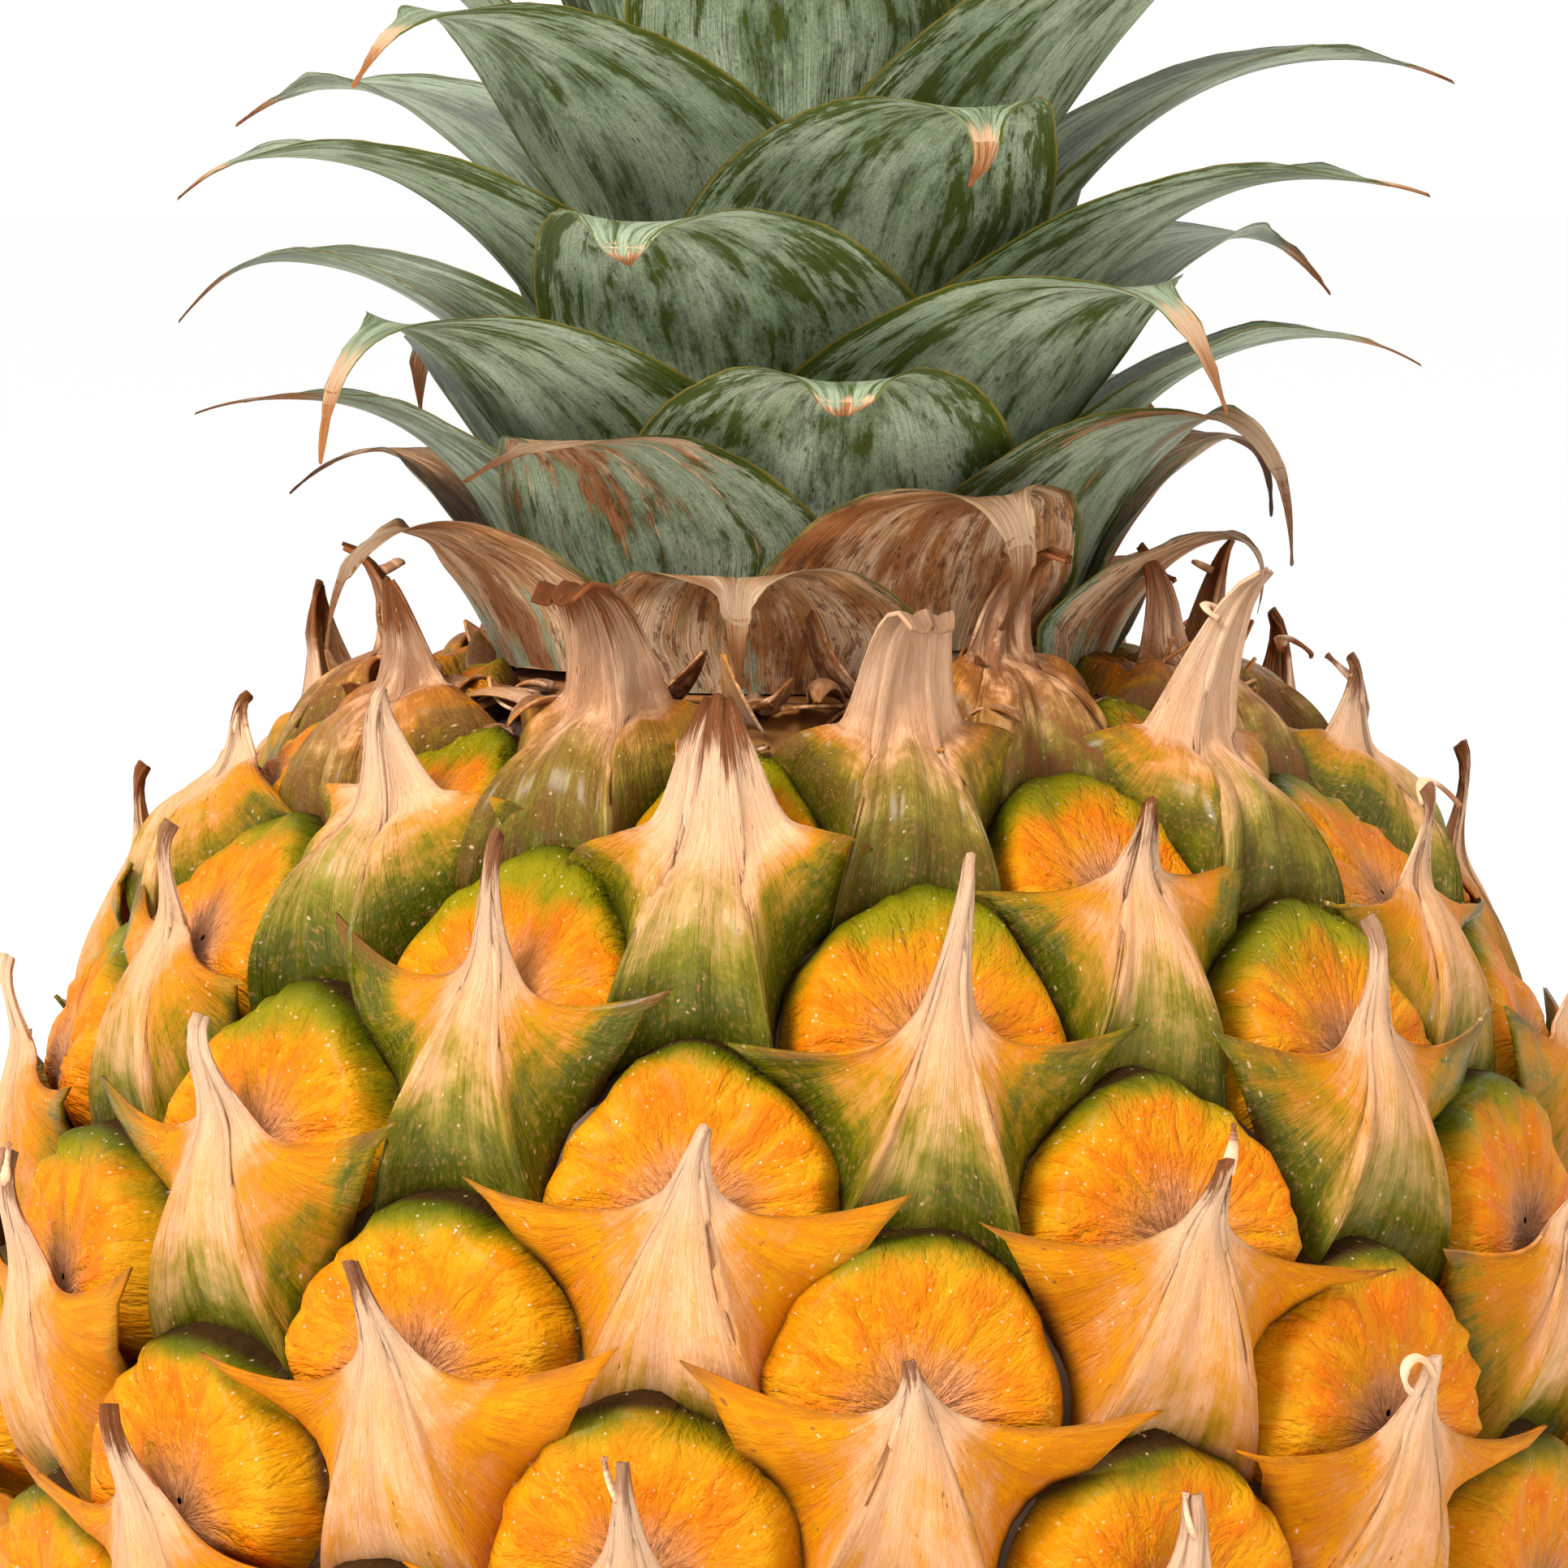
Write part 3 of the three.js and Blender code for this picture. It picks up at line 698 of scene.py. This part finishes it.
def add_strand(patches, root, eye, curled):
    """A thin dry strand from the root point up along the skin: a short prong, or a long loose curl."""
    chance = random.Random(eye.number)
    up = on_skin(eye, 0, 1, 0) - on_skin(eye, 0, 0, 0)
    right = on_skin(eye, 1, 0, 0) - on_skin(eye, 0, 0, 0)
    out = np.cross(right, up)
    side = chance.choice((-1, 1))
    length = chance.uniform(7, 10) if curled else chance.uniform(3.5, 5)
    turning = chance.uniform(2.5, 4.5) if curled else -0.5
    along = np.linspace(0, 1, 22 if curled else 8)
    angle = 0.5 + turning * along**1.3
    step = length * np.gradient(along) * (1 - 0.35 * along)
    sideways = side * np.cumsum(step * np.sin(angle))
    upwards = np.cumsum(step * np.cos(angle))
    outwards = 0.1 * length * along
    line = root + np.outer(upwards, up) + np.outer(sideways, right) + np.outer(outwards, out)
    add_tube(patches, line, 0.55 * (1 - along) ** 0.6 + 0.08, eye)


def add_tube(patches, line, radii, eye):
    """A thin tapering tube along a line of points."""
    sides = 7
    heading = np.gradient(line, axis=0)
    heading /= np.linalg.norm(heading, axis=1, keepdims=True)
    across = np.cross(heading, [0.3, -0.2, 0.93])
    across /= np.linalg.norm(across, axis=1, keepdims=True)
    over = np.cross(heading, across)
    turns = np.linspace(0, 2 * math.pi, sides, endpoint=False)
    ring = np.cos(turns)[None, :, None] * across[:, None] + 0.5 * np.sin(turns)[None, :, None] * over[:, None]
    points = line[:, None] + ring * radii[:, None, None]
    share = np.linspace(0.3, 0, len(line))[:, None] + np.zeros(sides)
    fibre = np.stack([0.1 + 0 * share, share, np.full_like(share, eye.seed)], -1)
    patches.add(points, ring=True, fibre=fibre, ripeness=ripeness_of(eye))


def bezier(share, a, b, c, d):
    rest = 1 - share
    return rest**3 * a + 3 * rest**2 * share * b + 3 * rest * share**2 * c + share**3 * d


def husk_piece(finish):
    """Torn papery scraps round the foot of the crown, left by bracts and leaves that have dried away."""
    patches = Patches()
    chance = random.Random(31)
    scraps = 110
    for scrap in range(scraps):
        azimuth = math.radians(360 * scrap / scraps + chance.uniform(-4, 4))
        reach = chance.uniform(24.6, 33)
        length = chance.uniform(3.5, 9.5)
        breadth = chance.uniform(0.7, 2.6)
        heading = chance.uniform(-1.2, 1.2)
        rising = chance.uniform(-0.1, 1.0)
        curling = chance.uniform(-2.2, 1.2)
        along = np.linspace(0, 1, 12)[:, None]
        across = np.linspace(-1, 1, 7)[None, :]
        tilt = rising + curling * along
        forward = length * np.cumsum(np.cos(tilt), axis=0) / len(along)
        upward = length * np.cumsum(np.sin(tilt), axis=0) / len(along)
        width = breadth * (1 - along**1.7) + 0.15
        side = across * width * np.cos(0.7 * across)
        cup = 0.5 * width * across**2 * chance.uniform(-1, 1)
        out = reach + forward * math.cos(heading) - side * math.sin(heading)
        round_the_foot = forward * math.sin(heading) + side * math.cos(heading)
        height = shoulder_height(reach) - 1.6 + upward + cup
        turn = azimuth + round_the_foot / np.maximum(out, 20)
        points = np.stack([out * np.sin(turn), -out * np.cos(turn), height], -1)
        flat = np.zeros(points.shape[:2])
        fibre = np.stack([flat + 0.4 * across, flat + 0.75 * along + 0.1, flat + 5 * azimuth], -1)
        ripeness = np.array([0, chance.uniform(0.3, 1), chance.uniform(0.1, 1.3)])
        patches.add(points, fibre=fibre, ripeness=ripeness)
    return patches.make("crown_foot_husk", finish, thickness=0.25)


def shoulder_height(radius):
    """The skin's height at a radius above the widest plane."""
    above = CLIMB > 0
    return np.interp(radius, SKIN_R[above][::-1], SKIN_Z[above][::-1])


# ---------------------------------------------------------------- crown leaves


def stem_radius(z):
    share = np.clip((z - STEM_BOTTOM_Z) / (STEM_TOP_Z - STEM_BOTTOM_Z), 0, 1)
    return lerp(STEM_BOTTOM_RADIUS, STEM_TOP_RADIUS, share**0.8)


class Leaf:
    """Size and stance of one crown leaf, by the same rules as its CAD solid."""

    def __init__(self, number):
        j = number
        upright = smoothstep(j, 0.8 * SPREADING, 1.4 * SPREADING)
        young = smoothstep(j, 1.3 * SPREADING, LEAF_COUNT + 4)
        stance = smoothstep(j, 0.75 * SPREADING, 1.5 * SPREADING)
        crowded = 0.38 * min(j, WITHERED)
        spreading = 0.95 * min(max(j - WITHERED, 0), SPREADING - WITHERED)
        self.number = number
        self.foot_z = STEM_BOTTOM_Z + 0.6 + crowded + spreading + 1.05 * max(0, j - SPREADING)
        self.length = lerp(18 + 1.12 * j, 124, upright) - 36 * young
        self.lateness = lerp(1.7, 1, smoothstep(j, 4, 20))
        self.half_width = lerp(14, 18, smoothstep(j, 4, 20)) - 11 * smoothstep(j, 20, LEAF_COUNT)
        self.foot_elevation = lerp(66, 86, smoothstep(j, 0, SPREADING))
        self.tip_elevation = lerp(lerp(-40, -22, smoothstep(j, 0, 20)), 64, stance)
        self.thickness = lerp(0.8, 1.5, smoothstep(j, 8, 26)) - 0.5 * young
        self.azimuth = FIRST_LEAF_AZIMUTH - j * GOLDEN_TURN
        chance = random.Random(700 + number)
        low = float(smoothstep(j, 30, 6))
        self.seed = chance.uniform(0, 60)
        self.dryness = float(lerp(0.80, -0.02, smoothstep(j, 3, 18))) + chance.uniform(-0.10, 0.10)
        self.dry_tip = float(lerp(0.34, 0.10, smoothstep(j, 4, 40)))
        self.stretch = (1.1 if number in DRIED_TIPS else 0.25) * low
        self.sunk = 2.2 * float(smoothstep(j, 8, 4))
        if number in BLUNT_LEAVES:
            self.stretch, self.dry_tip = -0.3, 0.5 * self.dry_tip
        self.pinch = 0 if number in BLUNT_LEAVES else float(lerp(0.68, 0.3, smoothstep(j, 20, 45)))
        fold = chance.uniform(-15, 70) * lerp(0.4, 1, low)
        turn = chance.uniform(-45, 45) * lerp(0.25, 1, low)
        self.fold, self.turn = DRIED_TIPS.get(number, (fold, turn))
        self.roll = chance.uniform(0.0, 0.8) * low
        self.ripple = chance.uniform(0.15, 0.4) + 0.8 * max(self.dryness, 0)


def leaf_midline(leaf, along):
    """How far out, high and aside the blade's middle runs, and its slope, at shares of its length."""
    fine = np.linspace(0, 1, 10 * len(along) + 1)
    dry_end = smoothstep(fine, 1 - leaf.dry_tip, 1 - 0.2 * leaf.dry_tip)
    arch = lerp(leaf.foot_elevation, leaf.tip_elevation, fine**leaf.lateness)
    elevation = np.radians(arch - leaf.fold * dry_end)
    turned = np.radians(leaf.turn * dry_end)
    step = leaf.length / (len(fine) - 1) * (1 + leaf.stretch * dry_end)
    start = stem_radius(leaf.foot_z) + GAP + leaf.thickness
    out = start + np.cumsum(step * np.cos(elevation) * np.cos(turned))
    z = leaf.foot_z - leaf.sunk + np.cumsum(step * np.sin(elevation))
    sway = np.cumsum(step * (np.cos(elevation) + 0.5) * np.sin(turned))
    return [np.interp(along, fine, line)[:, None] for line in (out, z, sway, elevation)]


def leaf_piece(leaf, finish):
    """A gutter-shaped blade, wrapped round the stem at its foot and free, rippled and dried at its tip."""
    along = np.linspace(0, 1, 56)
    out, z, sway, elevation = leaf_midline(leaf, along)
    u = along[:, None]
    w = np.linspace(-1, 1, 19)[None, :]
    taper = (0.8 + 0.2 * smoothstep(u, 0, 0.25)) * (1 - np.clip((u - 0.2) / 0.8, 0, 1) ** 1.5)
    taper = taper * (1 - leaf.pinch * smoothstep(u, 1 - 1.15 * leaf.dry_tip, 1 - 0.55 * leaf.dry_tip))
    half = np.maximum(np.minimum(leaf.half_width * taper, WRAP * out), 0.22)
    free = smoothstep(u, 0.3, 0.85)
    dry_share = smoothstep(u, 1 - leaf.dry_tip, 1)
    curl = lerp(out, 1.5 * half + 3, free) * (1 - 0.5 * leaf.roll * smoothstep(u, 0.55, 0.9))
    lean = lerp(math.pi / 2, elevation, 0.5 * free)
    turn = math.radians(leaf.azimuth)
    spin = np.array([[math.cos(turn), -math.sin(turn), 0], [math.sin(turn), math.cos(turn), 0], [0, 0, 1]])
    ripple = 0.5 * np.sin(13 * u + 2.5 * w + leaf.seed) + 0.35 * np.sin(29 * u - 4 * w + 2 * leaf.seed)
    ripple = leaf.ripple * ripple * np.abs(w) * smoothstep(u, 0.25, 0.7) * (half > 1)
    nicks = 0.25 * np.sin(61 * u + leaf.seed) * np.sin(37 * u) * (np.abs(w) > 0.99)
    patches = Patches()
    for side in (-1, 1):
        thickness = leaf.thickness * (1 - w**2) ** 0.6 * (1 - 0.7 * u)
        depth = curl - 0.5 * side * thickness
        bend = (w * half + np.sign(w) * nicks * free) / curl
        rise = curl - depth * np.cos(bend) - ripple
        height = z + rise * np.cos(lean)
        points = np.stack([depth * np.sin(bend) + sway, rise * np.sin(lean) - out, height], -1) @ spin.T
        flat = np.zeros(points.shape[:2])
        blade = np.stack([w + flat, u * leaf.length / 60 + flat, flat + leaf.seed], -1)
        tip = dry_share + flat
        spread = 0.5 * (u - 0.45) * smoothstep(leaf.dryness, 0, 0.3)
        dry = np.stack([leaf.dryness + 1.25 * tip + spread, tip, flat + (side > 0)], -1)
        patches.add(points[:, ::side], blade=blade[:, ::side], dryness=dry[:, ::side])
    return patches.make(f"leaf_{leaf.number + 1:02d}", finish)


# ---------------------------------------------------------------- assembly


def ride_for(piece, node):
    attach(piece, "root")
    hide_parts(node)


def make_fruit():
    ride_for(ground_piece(groove_finish()), "fruit_body")
    eye_skin, bract_skin = eye_finish(), bract_finish()
    eyes = all_eyes()
    bands = {"lower": (-9, -0.45), "middle": (-0.45, 0.35), "upper": (0.35, 9)}
    for name, (low, high) in bands.items():
        discs, bracts = Patches(), Patches()
        for eye in eyes:
            if low <= eye.level < high:
                disc_patch(discs, eye)
                bract_patch(bracts, eye)
        ride_for(discs.make(f"{name}_eyes", eye_skin), "fruit_body")
        ride_for(bracts.make(f"{name}_bracts", bract_skin, thickness=0.35), "fruit_body")
    ride_for(husk_piece(bract_skin), "fruit_body")


def make_crown():
    green = leaf_finish("waxy_leaf", withered=False)
    brown = leaf_finish("withered_leaf", withered=True)
    for number in range(LEAF_COUNT):
        withered = number < WITHERED
        piece = leaf_piece(Leaf(number), brown if withered else green)
        ride_for(piece, f"crown_leaf_{number + 1:02d}")


def dress_cad_nodes():
    for node, finish in (("cut_stalk", cut_stalk_finish()), ("crown_stem", stem_finish())):
        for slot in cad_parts[node].material_slots:
            slot.material = finish


def make_studio():
    """A pale floor, an even white surround, a large soft key light and a gentle fill."""
    bpy.ops.mesh.primitive_plane_add(size=30)
    floor = bpy.context.object
    floor.name = "floor"
    paint = Finish("pale_floor")
    floor.data.materials.append(paint.set(Base_Color=(0.93, 0.93, 0.93), Roughness=0.95))
    world = bpy.data.worlds.new("studio")
    bpy.context.scene.world = world
    world.use_nodes = True
    background = world.node_tree.nodes["Background"].inputs
    background["Color"].default_value = (1, 1, 1, 1)
    background["Strength"].default_value = 1.06
    add_light("key", (-0.6, -0.75, 0.95), 0.4, 22)
    add_light("fill", (0.95, -0.75, 0.5), 0.8, 2)
    add_light("rim", (0.3, 0.9, 0.9), 0.7, 4)


def add_light(name, place, size, watts):
    light = bpy.data.lights.new(name, "AREA")
    light.energy = watts
    light.size = size
    lamp = bpy.data.objects.new(name, light)
    lamp.location = place
    aim_at(lamp, Vector((0, 0, 0.13)))
    bpy.context.collection.objects.link(lamp)


def aim_at(thing, target):
    thing.rotation_euler = (target - thing.location).to_track_quat("-Z", "Y").to_euler()


def make_camera():
    """A long lens a little above the fruit's widest plane, close in on the shoulder and the crown's foot."""
    distance, elevation = 0.744, math.radians(7.81)
    camera = bpy.data.objects.new("camera", bpy.data.cameras.new("camera"))
    bpy.context.collection.objects.link(camera)
    camera.data.sensor_width = 36
    camera.data.lens = 220.6
    camera.location = (0, -distance * math.cos(elevation), WIDEST_Z * MM + distance * math.sin(elevation))
    aim_at(camera, Vector((-0.0012, 0, 0.1404)))
    bpy.context.scene.camera = camera


make_camera()
make_studio()
make_fruit()
make_crown()
dress_cad_nodes()
bpy.context.scene.view_settings.view_transform = "Standard"
